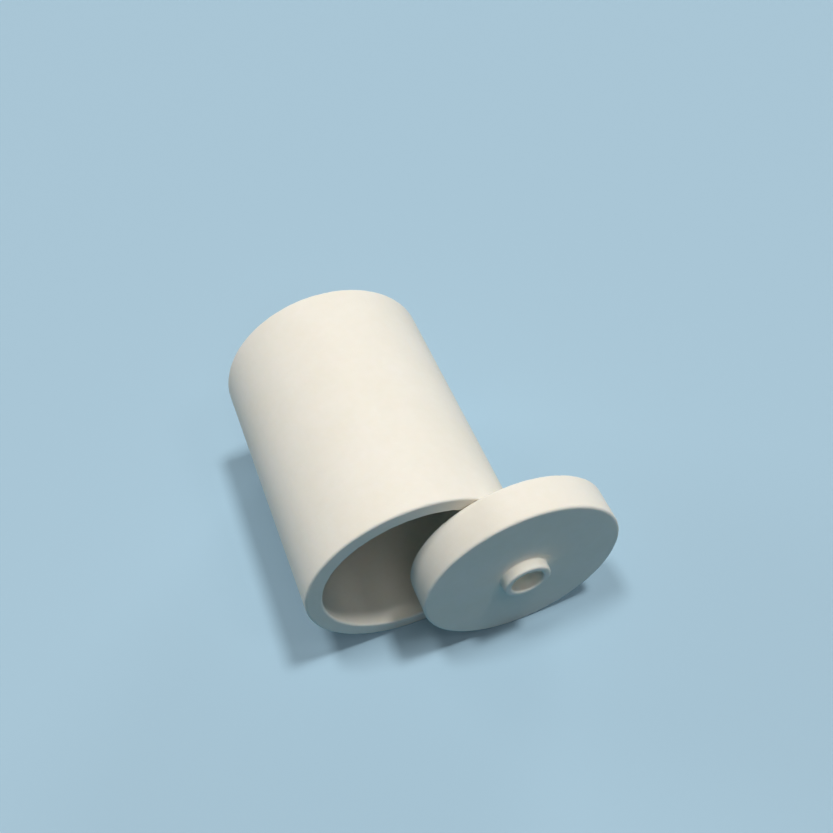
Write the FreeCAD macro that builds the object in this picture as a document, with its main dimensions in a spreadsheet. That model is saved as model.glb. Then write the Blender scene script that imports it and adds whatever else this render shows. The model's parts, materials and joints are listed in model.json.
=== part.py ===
"""A straight-walled ceramic crucible lying on its side, with its thick flat lid stood on edge at the mouth.

Both pieces are modelled upright, each about its own Z axis, and their Placements lay them down. Lengths are
in millimetres. The set's frame has +Z up and its origin on the table, under the middle of the two pieces'
common box: the crucible's axis lies along Y, with its mouth towards -Y, and the lid is at its +X side.
"""

import os

import FreeCAD
import Part
import Sketcher

PARTS_FOLDER = "parts"
SAME_PLACE = 1e-4  # two edges closer than this are the same edge

# The driving sizes: alias, value, what it is.
SIZES = (
    ("crucible_diameter", 40.0, "outside of the crucible"),
    ("crucible_height", 50.8, "base to rim"),
    ("wall_thickness", 3.2, "side wall of the crucible"),
    ("floor_thickness", 3.6, "bottom of the crucible"),
    ("inner_corner_radius", 3.0, "where the bore meets the bottom"),
    ("base_edge_radius", 0.5, "outside edge of the base"),
    ("rim_outer_radius", 0.4, "outside edge of the rim"),
    ("rim_inner_radius", 0.4, "inside edge of the rim"),
    ("lid_overlap", 1.7, "how far the lid reaches over the rim, past the bore"),
    ("lid_thickness", 7.0, "underside to top face"),
    ("lid_under_edge_radius", 0.6, "edge of the lid's underside"),
    ("lid_top_edge_radius", 0.5, "edge of the lid's top face"),
    ("boss_height", 1.9, "top face of the lid to the end of the boss"),
    ("boss_root_radius", 0.2, "where the boss meets the lid"),
    ("boss_edge_radius", 0.45, "outside edge of the boss's end"),
    ("boss_wall", 1.45, "wall of the boss, round its blind hole"),
    ("socket_diameter", 6.0, "blind hole in the boss"),
    ("socket_floor", 4.2, "lid left under the blind hole"),
    ("socket_edge_radius", 0.4, "mouth of the blind hole"),
    ("socket_corner_radius", 0.5, "bottom of the blind hole"),
    ("seat_clearance", 0.05, "between the rim and the lid's underside"),
    ("lid_side_offset", 17.15, "crucible axis to lid axis, along the table"),
)

# Sizes that follow from the sheet, as expressions on it.
RIM = "Sizes.crucible_height"
BORE_DIAMETER = "(Sizes.crucible_diameter - 2 * Sizes.wall_thickness)"
BORE_DEPTH = f"({RIM} - Sizes.floor_thickness)"
LID_DIAMETER = f"({BORE_DIAMETER} + 2 * Sizes.lid_overlap)"
BOSS_DIAMETER = "(Sizes.socket_diameter + 2 * Sizes.boss_wall)"
LID_TOP = "Sizes.lid_thickness"
BOSS_END = f"({LID_TOP} + Sizes.boss_height)"
SOCKET_DIAMETER = "Sizes.socket_diameter"
SOCKET_DEPTH = f"({BOSS_END} - Sizes.socket_floor)"


def make_sheet(doc):
    """The spreadsheet of driving sizes, one named cell each."""
    sheet = doc.addObject("Spreadsheet::Sheet", "Sizes")
    for row, (alias, value, meaning) in enumerate(SIZES, start=1):
        sheet.set(f"A{row}", meaning)
        sheet.set(f"B{row}", str(value))
        sheet.setAlias(f"B{row}", alias)
    doc.recompute()


def circle_sketch(body, name, diameter, height="0"):
    """A circle about the body's axis, that far above the body's own XY plane."""
    planes = {plane.Role: plane for plane in body.Origin.OriginFeatures}
    sketch = body.newObject("Sketcher::SketchObject", name)
    sketch.AttachmentSupport = [(planes["XY_Plane"], "")]
    sketch.MapMode = "FlatFace"
    sketch.setExpression("AttachmentOffset.Base.z", height)
    circle = sketch.addGeometry(Part.Circle(FreeCAD.Vector(0, 0, 0), FreeCAD.Vector(0, 0, 1), 1.0), False)
    sketch.addConstraint(Sketcher.Constraint("Coincident", circle, 3, -1, 1))
    size = sketch.addConstraint(Sketcher.Constraint("Diameter", circle, 2.0))
    sketch.setExpression(f"Constraints[{size}]", diameter)
    return sketch


def pad(body, name, diameter, length, height="0"):
    """A round pad, upwards from that height."""
    feature = body.newObject("PartDesign::Pad", name)
    feature.Profile = circle_sketch(body, f"{name}_outline", diameter, height)
    feature.setExpression("Length", length)
    body.Document.recompute()


def pocket(body, name, diameter, depth, height):
    """A round cut, downwards from that height. It has to take material away."""
    before = body.Shape.Volume
    feature = body.newObject("PartDesign::Pocket", name)
    feature.Profile = circle_sketch(body, f"{name}_outline", diameter, height)
    feature.setExpression("Length", depth)
    body.Document.recompute()
    if not body.Shape.Volume < before:
        raise RuntimeError(f"{name} cuts nothing")


def ring_edge(shape, radius, height):
    """The name of the circular edge with that radius and height."""
    for number, edge in enumerate(shape.Edges, start=1):
        if not isinstance(edge.Curve, Part.Circle):
            continue
        if abs(edge.Curve.Radius - radius) < SAME_PLACE and abs(edge.Curve.Center.z - height) < SAME_PLACE:
            return f"Edge{number}"
    raise RuntimeError(f"no edge of radius {radius} at height {height}")


def round_over(body, name, diameter, height, size):
    """Rounds the circular edge of that diameter and height."""
    base = body.Tip
    radius = body.evalExpression(diameter) / 2
    feature = body.newObject("PartDesign::Fillet", name)
    feature.Base = (base, [ring_edge(base.Shape, radius, body.evalExpression(height))])
    feature.setExpression("Radius", size)
    body.Document.recompute()


def make_crucible(doc):
    """The cup: a plain cylinder, bored out from the rim, with every edge eased."""
    body = doc.addObject("PartDesign::Body", "crucible")
    pad(body, "crucible_blank", "Sizes.crucible_diameter", RIM)
    pocket(body, "crucible_bore", BORE_DIAMETER, BORE_DEPTH, RIM)
    round_over(body, "inner_corner", BORE_DIAMETER, "Sizes.floor_thickness", "Sizes.inner_corner_radius")
    round_over(body, "base_edge", "Sizes.crucible_diameter", "0", "Sizes.base_edge_radius")
    round_over(body, "rim_outer_edge", "Sizes.crucible_diameter", RIM, "Sizes.rim_outer_radius")
    round_over(body, "rim_inner_edge", BORE_DIAMETER, RIM, "Sizes.rim_inner_radius")
    return body


def make_lid(doc):
    """The lid: a thick flat disc, with a short hollow boss in the middle of its top face."""
    body = doc.addObject("PartDesign::Body", "lid")
    pad(body, "lid_disc", LID_DIAMETER, LID_TOP)
    pad(body, "grip_boss", BOSS_DIAMETER, "Sizes.boss_height", LID_TOP)
    pocket(body, "boss_socket", SOCKET_DIAMETER, SOCKET_DEPTH, BOSS_END)
    round_over(body, "lid_under_edge", LID_DIAMETER, "0", "Sizes.lid_under_edge_radius")
    round_over(body, "lid_top_edge", LID_DIAMETER, LID_TOP, "Sizes.lid_top_edge_radius")
    round_over(body, "boss_root", BOSS_DIAMETER, LID_TOP, "Sizes.boss_root_radius")
    round_over(body, "boss_edge", BOSS_DIAMETER, BOSS_END, "Sizes.boss_edge_radius")
    round_over(body, "socket_edge", SOCKET_DIAMETER, BOSS_END, "Sizes.socket_edge_radius")
    round_over(body, "socket_corner", SOCKET_DIAMETER, "Sizes.socket_floor", "Sizes.socket_corner_radius")
    return body


def lay_down(body, across, along, height):
    """Turns an upright body's +Z towards -Y, and puts the middle of its lower face there."""
    quarter_turn = FreeCAD.Rotation(FreeCAD.Vector(1, 0, 0), 90)
    body.Placement = FreeCAD.Placement(FreeCAD.Vector(0, 0, 0), quarter_turn)
    body.setExpression("Placement.Base.x", across)
    body.setExpression("Placement.Base.y", along)
    body.setExpression("Placement.Base.z", height)


def place_pieces(crucible, lid):
    """Lays both pieces on the table, with the origin under the middle of their common box."""
    base_end = f"({RIM} + Sizes.seat_clearance + {BOSS_END}) / 2"
    underside = f"{base_end} - {RIM} - Sizes.seat_clearance"
    crucible_axis = f"(Sizes.crucible_diameter / 2 - Sizes.lid_side_offset - {LID_DIAMETER} / 2) / 2"
    lid_axis = f"{crucible_axis} + Sizes.lid_side_offset"
    lay_down(crucible, crucible_axis, base_end, "Sizes.crucible_diameter / 2")
    lay_down(lid, lid_axis, underside, f"{LID_DIAMETER} / 2")


def check_and_export(doc, pieces):
    """Stops on a failed object or an unsound solid, and otherwise writes each piece's STEP file."""
    for thing in doc.Objects:
        if {"Invalid", "Error"} & set(thing.State):
            raise RuntimeError(f"{thing.Name} failed: {thing.State}")
    for piece in pieces:
        if piece.Shape.isNull() or not piece.Shape.isValid() or len(piece.Shape.Solids) != 1:
            raise RuntimeError(f"{piece.Label} is not one sound solid")
    os.makedirs(PARTS_FOLDER, exist_ok=True)
    for piece in pieces:
        piece.Shape.exportStep(os.path.join(PARTS_FOLDER, f"{piece.Label}.step"))
        print(f"{piece.Label}: {piece.Shape.Volume:.1f} mm3, {piece.Shape.optimalBoundingBox(False)}")


def main():
    doc = FreeCAD.newDocument("crucible_with_lid")
    make_sheet(doc)
    crucible = make_crucible(doc)
    lid = make_lid(doc)
    place_pieces(crucible, lid)
    doc.recompute()
    check_and_export(doc, (crucible, lid))


main()
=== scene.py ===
import json
import math

import bmesh
import bpy
from mathutils import Matrix, Vector, noise


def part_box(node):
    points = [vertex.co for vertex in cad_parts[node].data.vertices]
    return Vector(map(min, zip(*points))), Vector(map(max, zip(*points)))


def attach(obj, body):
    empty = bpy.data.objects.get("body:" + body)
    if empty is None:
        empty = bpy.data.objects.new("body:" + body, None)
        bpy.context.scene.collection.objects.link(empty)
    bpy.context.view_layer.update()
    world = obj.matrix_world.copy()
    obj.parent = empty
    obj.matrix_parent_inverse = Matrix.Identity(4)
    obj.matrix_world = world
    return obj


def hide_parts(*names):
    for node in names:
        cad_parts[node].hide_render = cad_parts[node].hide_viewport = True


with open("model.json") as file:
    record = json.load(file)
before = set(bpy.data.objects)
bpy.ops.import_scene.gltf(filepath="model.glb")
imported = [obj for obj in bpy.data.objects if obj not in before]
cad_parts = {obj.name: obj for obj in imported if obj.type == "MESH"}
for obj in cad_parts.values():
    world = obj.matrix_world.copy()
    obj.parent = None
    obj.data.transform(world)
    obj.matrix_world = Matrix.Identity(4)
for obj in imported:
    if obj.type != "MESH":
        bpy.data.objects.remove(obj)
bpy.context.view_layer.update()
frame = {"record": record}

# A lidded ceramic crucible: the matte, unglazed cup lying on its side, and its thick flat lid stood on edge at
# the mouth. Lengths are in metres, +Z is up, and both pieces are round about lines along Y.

MM = 0.001

# Edges and small forms, as the construction has them.
INNER_CORNER = 3.0 * MM
BASE_EDGE = 0.5 * MM
RIM_OUTER_EDGE = 0.4 * MM
RIM_INNER_EDGE = 0.4 * MM
LID_UNDER_EDGE = 0.6 * MM
LID_TOP_EDGE = 0.5 * MM
BOSS_HEIGHT = 1.9 * MM
BOSS_WALL = 1.45 * MM
BOSS_ROOT = 0.2 * MM
BOSS_EDGE = 0.45 * MM
SOCKET_EDGE = 0.4 * MM
SOCKET_CORNER = 0.5 * MM

# How finely a turned piece is divided.
TURN_STEPS = 256
EDGE_SEGMENTS = 6
LOOP_SPACING = 2.0 * MM
HOLDING_LOOP = 0.15 * MM  # from a rounded edge to the loop that keeps the flat beside it flat
SAME_POINT = 1e-7

# Small unevenness of a fired piece: streaks along its axis, and bites at its edges. It only takes material away,
# so the piece keeps to its size.
WAVE_ROUND = 5.5 * MM
WAVE_ALONG = 34.0 * MM
WAVE_DEPTH = 0.07 * MM
NIBBLE_LENGTH = 0.9 * MM
NIBBLE_DEPTH = 0.08 * MM
CRUCIBLE_WAVES = 3.7  # where in the noise each piece starts
LID_WAVES = 8.3

mounts = {mount["name"]: mount for mount in frame["record"]["mounts"]}


# ---------------------------------------------------------------- turned pieces

def wire_profile(bm, corners):
    """The outline that a piece is turned from: a chain of points, each (radius, along the axis, edge radius)."""
    worn = bm.verts.layers.float.new("worn_edge")
    verts = [bm.verts.new((radius, along, 0)) for radius, along, _ in corners]
    for first, second in zip(verts, verts[1:]):
        bm.edges.new((first, second))
    for vert, (_, _, edge_radius) in zip(verts, corners):
        if edge_radius:
            round_corner(bm, vert, edge_radius, worn)


def round_corner(bm, vert, edge_radius, worn):
    """Rounds one corner of the outline, marks the arc as worn, and puts a holding loop beside each end of it."""
    made = bmesh.ops.bevel(
        bm, geom=[vert], offset=edge_radius, offset_type="OFFSET", affect="VERTICES",
        segments=EDGE_SEGMENTS, profile=0.5, material=-1,
    )
    arc = set(made["verts"])
    for end in list(arc):
        for edge in list(end.link_edges):
            beyond = edge.other_vert(end)
            if beyond in arc:
                continue
            if edge.calc_length() > 2 * HOLDING_LOOP:
                bmesh.utils.edge_split(edge, end, HOLDING_LOOP / edge.calc_length())
    for point in arc:
        if all(edge.other_vert(point) in arc for edge in point.link_edges):
            point[worn] = 1.0


def divide_runs(bm):
    """Divides the outline's long straight runs, so that the surface can carry its small unevenness."""
    for edge in [edge for edge in bm.edges if edge.calc_length() > 1.5 * LOOP_SPACING]:
        cuts = math.ceil(edge.calc_length() / LOOP_SPACING) - 1
        bmesh.ops.subdivide_edges(bm, edges=[edge], cuts=cuts)


def spin_round(bm):
    """Turns the outline a full circle about Y and closes the seam and the poles."""
    bmesh.ops.spin(
        bm, geom=bm.verts[:] + bm.edges[:], cent=(0, 0, 0), axis=(0, 1, 0), dvec=(0, 0, 0),
        angle=2 * math.pi, steps=TURN_STEPS, use_merge=True, use_duplicate=False,
    )
    bmesh.ops.remove_doubles(bm, verts=bm.verts[:], dist=SAME_POINT)
    bmesh.ops.recalc_face_normals(bm, faces=bm.faces[:])


def fire_unevenness(bm, seed):
    """Sinks the surface by up to about a tenth of a millimetre, in streaks along the axis and bites at its edges."""
    worn = bm.verts.layers.float["worn_edge"]
    bm.normal_update()
    shift = Vector((seed, 2 * seed, 3 * seed))
    moves = []
    for vert in bm.verts:
        place = Vector((vert.co.x / WAVE_ROUND, vert.co.y / WAVE_ALONG, vert.co.z / WAVE_ROUND))
        wave = 0.5 + 0.5 * noise.noise(place + shift)
        nibble = max(0.0, noise.noise(vert.co / NIBBLE_LENGTH - shift))
        moves.append(vert.normal * (WAVE_DEPTH * wave + NIBBLE_DEPTH * nibble * vert[worn]))
    for vert, move in zip(bm.verts, moves):
        vert.co -= move


def turned_piece(name, corners, centre, seed):
    """A round piece about the line along Y through centre."""
    bm = bmesh.new()
    wire_profile(bm, corners)
    divide_runs(bm)
    spin_round(bm)
    fire_unevenness(bm, seed)
    bmesh.ops.translate(bm, verts=bm.verts[:], vec=centre)
    for face in bm.faces:
        face.smooth = True
    mesh = bpy.data.meshes.new(name)
    bm.to_mesh(mesh)
    bm.free()
    piece = bpy.data.objects.new(name, mesh)
    bpy.context.scene.collection.objects.link(piece)
    return piece


def axis_of(node):
    """Where the round axis of a CAD node crosses Y 0: the middle of its box, across and in height."""
    low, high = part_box(node)
    return Vector(((low.x + high.x) / 2, 0, (low.z + high.z) / 2))


def make_crucible():
    """The cup, from the middle of its base round to the middle of its inside."""
    low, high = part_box("crucible")
    outside = (high.x - low.x) / 2
    bore = mounts["crucible_bore"]["dims"]["r_mm"] * MM
    bore_length = mounts["crucible_bore"]["dims"]["length_mm"] * MM
    base = high.y
    rim = low.y
    inside_end = rim + RIM_INNER_EDGE + bore_length + INNER_CORNER
    corners = (
        (0, base, 0),
        (outside, base, BASE_EDGE),
        (outside, rim, RIM_OUTER_EDGE),
        (bore, rim, RIM_INNER_EDGE),
        (bore, inside_end, INNER_CORNER),
        (0, inside_end, 0),
    )
    return turned_piece("crucible_cup", corners, axis_of("crucible"), CRUCIBLE_WAVES)


def make_lid():
    """The lid, from the middle of its underside round to the bottom of the blind hole in its boss."""
    low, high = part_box("lid")
    outside = (high.x - low.x) / 2
    socket = mounts["lid_boss_socket"]["dims"]["r_mm"] * MM
    socket_length = mounts["lid_boss_socket"]["dims"]["length_mm"] * MM
    boss = socket + BOSS_WALL
    underside = high.y
    boss_end = low.y
    top = boss_end + BOSS_HEIGHT
    socket_end = boss_end + SOCKET_EDGE + socket_length + SOCKET_CORNER
    corners = (
        (0, underside, 0),
        (outside, underside, LID_UNDER_EDGE),
        (outside, top, LID_TOP_EDGE),
        (boss, top, BOSS_ROOT),
        (boss, boss_end, BOSS_EDGE),
        (socket, boss_end, SOCKET_EDGE),
        (socket, socket_end, SOCKET_CORNER),
        (0, socket_end, 0),
    )
    return turned_piece("lid_disc", corners, axis_of("lid"), LID_WAVES)


# ---------------------------------------------------------------- materials

# The two whites that the body drifts between, its rubbed edges, and the iron specks.
WARM_WHITE = (0.94, 0.885, 0.785, 1)
WARMER_WHITE = (0.895, 0.835, 0.71, 1)
RUBBED_WHITE = (0.93, 0.885, 0.80, 1)
SPECK_BROWN = (0.50, 0.42, 0.33, 1)

CLOUD_SIZE = 11.0 * MM
MOTTLE_SIZE = 1.6 * MM
GRAIN_SIZE = 0.22 * MM
TOOL_LINE_SPACING = 0.45 * MM
SPECK_SPACING = 2.6 * MM
SPECK_RADIUS = 0.09 * MM
PORE_SPACING = 0.55 * MM
PORE_RADIUS = 0.07 * MM
CRUCIBLE_PATTERN = 0.31  # where in the noise each piece's finish starts
LID_PATTERN = 0.77

# Shares of the drift between the two whites, and how strongly specks and rubbing show.
CLOUD_SHARE = 0.55
MOTTLE_SHARE = 0.3
GRAIN_SHARE = 0.15
SPECK_STRENGTH = 0.35
RUB_STRENGTH = 0.6

GRAIN_HEIGHT = 0.013 * MM
MOTTLE_HEIGHT = 0.030 * MM
TOOL_LINE_HEIGHT = 0.012 * MM
PORE_HEIGHT = 0.012 * MM

SMOOTHEST = 0.68  # roughness
COARSEST = 0.80
RUBBED_SMOOTHER_BY = 0.12
DRY_GLOSS = 0.3

# Light that goes a little way into the ceramic: its share, how far it gets, and how much of that way red, green
# and blue each go.
SOFT_LIGHT_SHARE = 0.2
SOFT_LIGHT_REACH = 1.0 * MM
SOFT_LIGHT_COLOURS = (1.0, 0.75, 0.5)

# The part of a noise that is stretched over its whole effect: wide for soft changes, narrow for patches.
NOISE_LOW = 0.3
NOISE_HIGH = 0.7
PATCH_LOW = 0.4
PATCH_HIGH = 0.6


class Nodes:
    """The node tree of a material or world, with short calls for the nodes used here."""

    def __init__(self, owner, shader="Principled BSDF"):
        owner.use_nodes = True
        self.tree = owner.node_tree
        self.shader = self.tree.nodes[shader]

    def put(self, socket, value):
        if isinstance(value, bpy.types.NodeSocket):
            self.tree.links.new(value, socket)
        else:
            socket.default_value = value

    def add(self, kind, inputs, **settings):
        node = self.tree.nodes.new(kind)
        for setting, value in settings.items():
            setattr(node, setting, value)
        for socket, value in inputs.items():
            self.put(node.inputs[socket], value)
        return node

    def noise(self, place, size, detail=2.0, roughness=0.5):
        """Soft noise, from 0 to 1, with lumps of that size."""
        inputs = {"Vector": place, "Scale": 1 / size, "Detail": detail, "Roughness": roughness}
        return self.add("ShaderNodeTexNoise", inputs).outputs["Fac"]

    def dots(self, place, spacing, radius):
        """Round dots, one to a cell of that spacing: 1 in the middle of a dot, 0 outside it."""
        cells = self.add("ShaderNodeTexVoronoi", {"Vector": place, "Scale": 1 / spacing})
        return self.spread(cells.outputs["Distance"], 0.0, radius / spacing, 1.0, 0.0)

    def spread(self, value, low, high, to_low, to_high):
        """Maps low..high to to_low..to_high, and goes no further."""
        inputs = {"Value": value, "From Min": low, "From Max": high, "To Min": to_low, "To Max": to_high}
        return self.add("ShaderNodeMapRange", inputs).outputs["Result"]

    def math(self, operation, first, second):
        node = self.add("ShaderNodeMath", {}, operation=operation)
        self.put(node.inputs[0], first)
        self.put(node.inputs[1], second)
        return node.outputs[0]

    def mix(self, amount, first, second):
        """The first colour at 0, the second at 1."""
        node = self.add("ShaderNodeMix", {}, data_type="RGBA")
        colours = [socket for socket in node.inputs if socket.type == "RGBA"]
        self.put(node.inputs["Factor"], amount)
        self.put(colours[0], first)
        self.put(colours[1], second)
        return [socket for socket in node.outputs if socket.type == "RGBA"][0]


def piece_places(nodes, centre, seed):
    """The piece's own coordinates: centred on its axis, and shifted so that no two pieces share a pattern."""
    coordinates = nodes.add("ShaderNodeTexCoord", {}).outputs["Object"]
    centred = nodes.add("ShaderNodeMapping", {"Vector": coordinates, "Location": -centre}).outputs["Vector"]
    shift = Vector((seed, 2 * seed, 3 * seed))
    shifted = nodes.add("ShaderNodeMapping", {"Vector": coordinates, "Location": shift}).outputs["Vector"]
    return centred, shifted


def tool_lines(nodes, centred):
    """Faint lines left by turning: rings on the flat faces, and bands round the walls."""
    across = nodes.add("ShaderNodeVectorMath", {0: centred, 1: (1, 0, 1)}, operation="MULTIPLY").outputs["Vector"]
    radius = nodes.add("ShaderNodeVectorMath", {0: across}, operation="LENGTH").outputs["Value"]
    along = nodes.add("ShaderNodeSeparateXYZ", {"Vector": centred}).outputs["Y"]
    turned = nodes.add("ShaderNodeCombineXYZ", {"X": radius, "Y": along}).outputs["Vector"]
    return nodes.noise(turned, TOOL_LINE_SPACING, detail=3.0, roughness=0.6)


def unglazed_ceramic(name, centre, seed):
    """Matte fired ceramic: warm white, a little mottled, finely grained, rubbed smoother along its edges."""
    material = bpy.data.materials.new(name)
    nodes = Nodes(material)
    centred, place = piece_places(nodes, centre, seed)
    cloud = nodes.noise(place, CLOUD_SIZE, detail=3.0)
    mottle = nodes.noise(place, MOTTLE_SIZE, detail=3.0)
    grain = nodes.noise(place, GRAIN_SIZE, detail=4.0, roughness=0.7)
    lines = tool_lines(nodes, centred)
    pores = nodes.dots(place, PORE_SPACING, PORE_RADIUS)
    specks = nodes.dots(place, SPECK_SPACING, SPECK_RADIUS)
    edge = nodes.add("ShaderNodeAttribute", {}, attribute_name="worn_edge").outputs["Fac"]
    rubbed = nodes.math("MULTIPLY", edge, nodes.spread(mottle, PATCH_LOW, PATCH_HIGH, 0.0, 1.0))

    clouds = nodes.spread(cloud, NOISE_LOW, NOISE_HIGH, 0.0, CLOUD_SHARE)
    mottles = nodes.spread(mottle, NOISE_LOW, NOISE_HIGH, 0.0, MOTTLE_SHARE)
    grains = nodes.spread(grain, NOISE_LOW, NOISE_HIGH, 0.0, GRAIN_SHARE)
    drift = nodes.math("ADD", nodes.math("ADD", clouds, mottles), grains)
    colour = nodes.mix(drift, WARM_WHITE, WARMER_WHITE)
    colour = nodes.mix(nodes.math("MULTIPLY", specks, SPECK_STRENGTH), colour, SPECK_BROWN)
    colour = nodes.mix(nodes.math("MULTIPLY", rubbed, RUB_STRENGTH), colour, RUBBED_WHITE)
    nodes.put(nodes.shader.inputs["Base Color"], colour)

    roughness = nodes.spread(grain, NOISE_LOW, NOISE_HIGH, SMOOTHEST, COARSEST)
    smoother = nodes.math("MULTIPLY", rubbed, RUBBED_SMOOTHER_BY)
    nodes.put(nodes.shader.inputs["Roughness"], nodes.math("SUBTRACT", roughness, smoother))

    height = nodes.math("MULTIPLY", grain, GRAIN_HEIGHT)
    height = nodes.math("ADD", height, nodes.math("MULTIPLY", mottle, MOTTLE_HEIGHT))
    height = nodes.math("ADD", height, nodes.math("MULTIPLY", lines, TOOL_LINE_HEIGHT))
    height = nodes.math("SUBTRACT", height, nodes.math("MULTIPLY", pores, PORE_HEIGHT))
    bump = nodes.add("ShaderNodeBump", {"Height": height, "Distance": 1.0, "Strength": 1.0})
    nodes.put(nodes.shader.inputs["Normal"], bump.outputs["Normal"])

    nodes.shader.inputs["Specular IOR Level"].default_value = DRY_GLOSS
    nodes.shader.inputs["Subsurface Weight"].default_value = SOFT_LIGHT_SHARE
    nodes.shader.inputs["Subsurface Radius"].default_value = SOFT_LIGHT_COLOURS
    nodes.shader.inputs["Subsurface Scale"].default_value = SOFT_LIGHT_REACH
    return material


# ---------------------------------------------------------------- stage, light and camera

FLOOR_HALF_WIDTH = 3.0
FLOOR_SEEN = (0.40, 0.57, 0.68, 1)
FLOOR_BOUNCE = (0.065, 0.22, 0.34, 1)
FLOOR_GLOSS = 0.1

# Name, azimuth and elevation that it shines from, strength, and angular size. Angles are in degrees.
LAMPS = (
    ("key", 84, 74, 1.46, 8),
    ("overhead", 225, 80, 1.00, 10),
    ("front_right", 50, 55, 0.12, 10),
    ("front_high", 0, 70, 0.17, 22),
    ("front", 0, 50, 0.23, 22),
    ("low_right", 135, 12, 0.64, 22),
    ("low_left", 225, 12, 0.57, 22),
)

CAMERA_AZIMUTH = -15.81
CAMERA_ELEVATION = 53.61
CAMERA_ROLL = 6.84
CAMERA_DISTANCE = 189.4 * MM
CAMERA_LENS = 42.46
CAMERA_NEAR = 10 * MM  # nothing nearer than this is seen
CAMERA_AIM = Vector((4.30 * MM, 9.90 * MM, 20.0 * MM))


def seen_directly(nodes):
    """1 where the camera looks, straight or by way of gloss or glass, and 0 where light only bounces."""
    path = nodes.add("ShaderNodeLightPath", {})
    glossy = nodes.math("MAXIMUM", path.outputs["Is Glossy Ray"], path.outputs["Is Transmission Ray"])
    return nodes.math("MAXIMUM", path.outputs["Is Camera Ray"], glossy)


def floor_material():
    """A pale floor. What it throws back on the object is deeper in colour than what is seen of it."""
    material = bpy.data.materials.new("pale_floor")
    nodes = Nodes(material)
    seen = seen_directly(nodes)
    nodes.put(nodes.shader.inputs["Base Color"], nodes.mix(seen, FLOOR_BOUNCE, FLOOR_SEEN))
    nodes.shader.inputs["Roughness"].default_value = 1.0
    nodes.shader.inputs["Specular IOR Level"].default_value = FLOOR_GLOSS
    return material


def make_floor():
    """A wide flat floor at table height."""
    bm = bmesh.new()
    bmesh.ops.create_grid(bm, x_segments=1, y_segments=1, size=FLOOR_HALF_WIDTH)
    mesh = bpy.data.meshes.new("floor")
    bm.to_mesh(mesh)
    bm.free()
    mesh.materials.append(floor_material())
    floor = bpy.data.objects.new("floor", mesh)
    bpy.context.scene.collection.objects.link(floor)


def turn_from(azimuth, elevation, roll=0.0):
    """The turn of a camera or lamp that looks in from that side. At azimuth 0 it looks along +Y."""
    turned = Matrix.Rotation(math.radians(azimuth), 4, "Z")
    tilted = Matrix.Rotation(math.radians(90 - elevation), 4, "X")
    rolled = Matrix.Rotation(math.radians(-roll), 4, "Z")
    return turned @ tilted @ rolled


def make_lamps():
    """The soft studio light, as broad suns."""
    for name, azimuth, elevation, strength, size in LAMPS:
        light = bpy.data.lights.new(name, "SUN")
        light.energy = strength
        light.angle = math.radians(size)
        lamp = bpy.data.objects.new(name, light)
        lamp.matrix_world = turn_from(azimuth, elevation)
        bpy.context.scene.collection.objects.link(lamp)


def make_world():
    """A pale surround for what looks at it straight or by way of gloss or glass. Otherwise it gives no light."""
    world = bpy.data.worlds.new("surround")
    nodes = Nodes(world, "Background")
    nodes.shader.inputs["Color"].default_value = FLOOR_SEEN
    nodes.put(nodes.shader.inputs["Strength"], seen_directly(nodes))
    bpy.context.scene.world = world


def make_camera():
    """A camera in front of the mouth and well above it, a little towards -X, and rolled a little."""
    data = bpy.data.cameras.new("camera")
    data.lens = CAMERA_LENS
    data.clip_start = CAMERA_NEAR
    camera = bpy.data.objects.new("camera", data)
    stand_off = Matrix.Translation((0, 0, CAMERA_DISTANCE))
    turn = turn_from(CAMERA_AZIMUTH, CAMERA_ELEVATION, CAMERA_ROLL)
    camera.matrix_world = Matrix.Translation(CAMERA_AIM) @ turn @ stand_off
    bpy.context.scene.collection.objects.link(camera)
    bpy.context.scene.camera = camera


cup = make_crucible()
cup.data.materials.append(unglazed_ceramic("crucible_ceramic", axis_of("crucible"), CRUCIBLE_PATTERN))
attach(cup, "crucible_body")
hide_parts("crucible")

lid = make_lid()
lid.data.materials.append(unglazed_ceramic("lid_ceramic", axis_of("lid"), LID_PATTERN))
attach(lid, "lid_body")
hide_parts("lid")

make_floor()
make_lamps()
make_world()
make_camera()
bpy.context.scene.view_settings.view_transform = "Standard"
